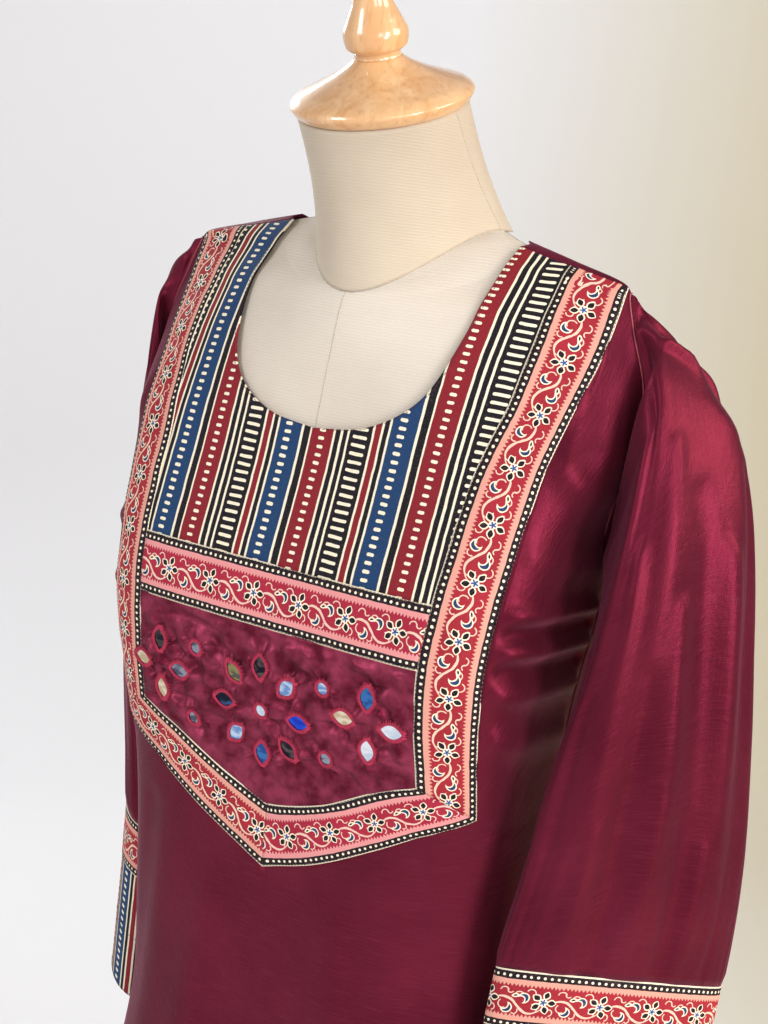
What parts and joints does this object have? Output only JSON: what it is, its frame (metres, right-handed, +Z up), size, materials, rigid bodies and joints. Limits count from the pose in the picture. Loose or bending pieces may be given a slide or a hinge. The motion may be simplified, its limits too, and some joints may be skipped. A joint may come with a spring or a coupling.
{
  "type": "kurta tunic on a dress form",
  "caption": "Long-sleeved satin kurta with a printed, mirror-worked yoke, worn by a limbless canvas dress form on a turned wooden stand.",
  "frame": {"origin": "middle of the stand base's underside, on the floor", "axes": "+Z up, -Y the way the wearer's front faces, +X the wearer's left"},
  "size_m": [0.5952, 0.38, 1.5872],
  "materials": {
    "satin": "slubby maroon satin with a soft rose sheen",
    "stripes": "matt printed cotton, red, black and blue stripes with cream lines",
    "border": "matt printed cotton, flowering vine between dotted black edges",
    "mirror": "small flat mirrors",
    "canvas": "ribbed cream canvas",
    "wood": "pale turned wood, glossy lacquer"
  },
  "bodies": {
    "root": {"front": "satin", "back": "satin", "mirror_panel": "satin", "sleeve_left": "satin", "sleeve_right": "satin", "yoke_stripes": "stripes", "sleeve_end_left": "stripes", "sleeve_end_right": "stripes", "yoke_band_middle": "border", "yoke_band_left": "border", "yoke_band_right": "border", "yoke_band_lower_left": "border", "yoke_band_lower_right": "border", "sleeve_band_left": "border", "sleeve_band_right": "border", "form_torso": "canvas", "form_neck": "canvas", "form_plate": "wood", "form_cap": "wood", "form_finial": "wood", "form_pole": "wood", "form_base": "wood", "mirror_leaf_01": "mirror", "mirror_leaf_02": "mirror", "mirror_leaf_03": "mirror", "mirror_leaf_04": "mirror", "mirror_leaf_05": "mirror", "mirror_leaf_06": "mirror", "mirror_leaf_07": "mirror", "mirror_leaf_08": "mirror", "mirror_leaf_09": "mirror", "mirror_leaf_10": "mirror", "mirror_leaf_11": "mirror", "mirror_leaf_12": "mirror", "mirror_leaf_13": "mirror", "mirror_leaf_14": "mirror", "mirror_leaf_15": "mirror", "mirror_leaf_16": "mirror", "mirror_round_01": "mirror", "mirror_round_02": "mirror", "mirror_round_03": "mirror", "mirror_round_04": "mirror", "mirror_round_05": "mirror"}
  },
  "joints": []
}
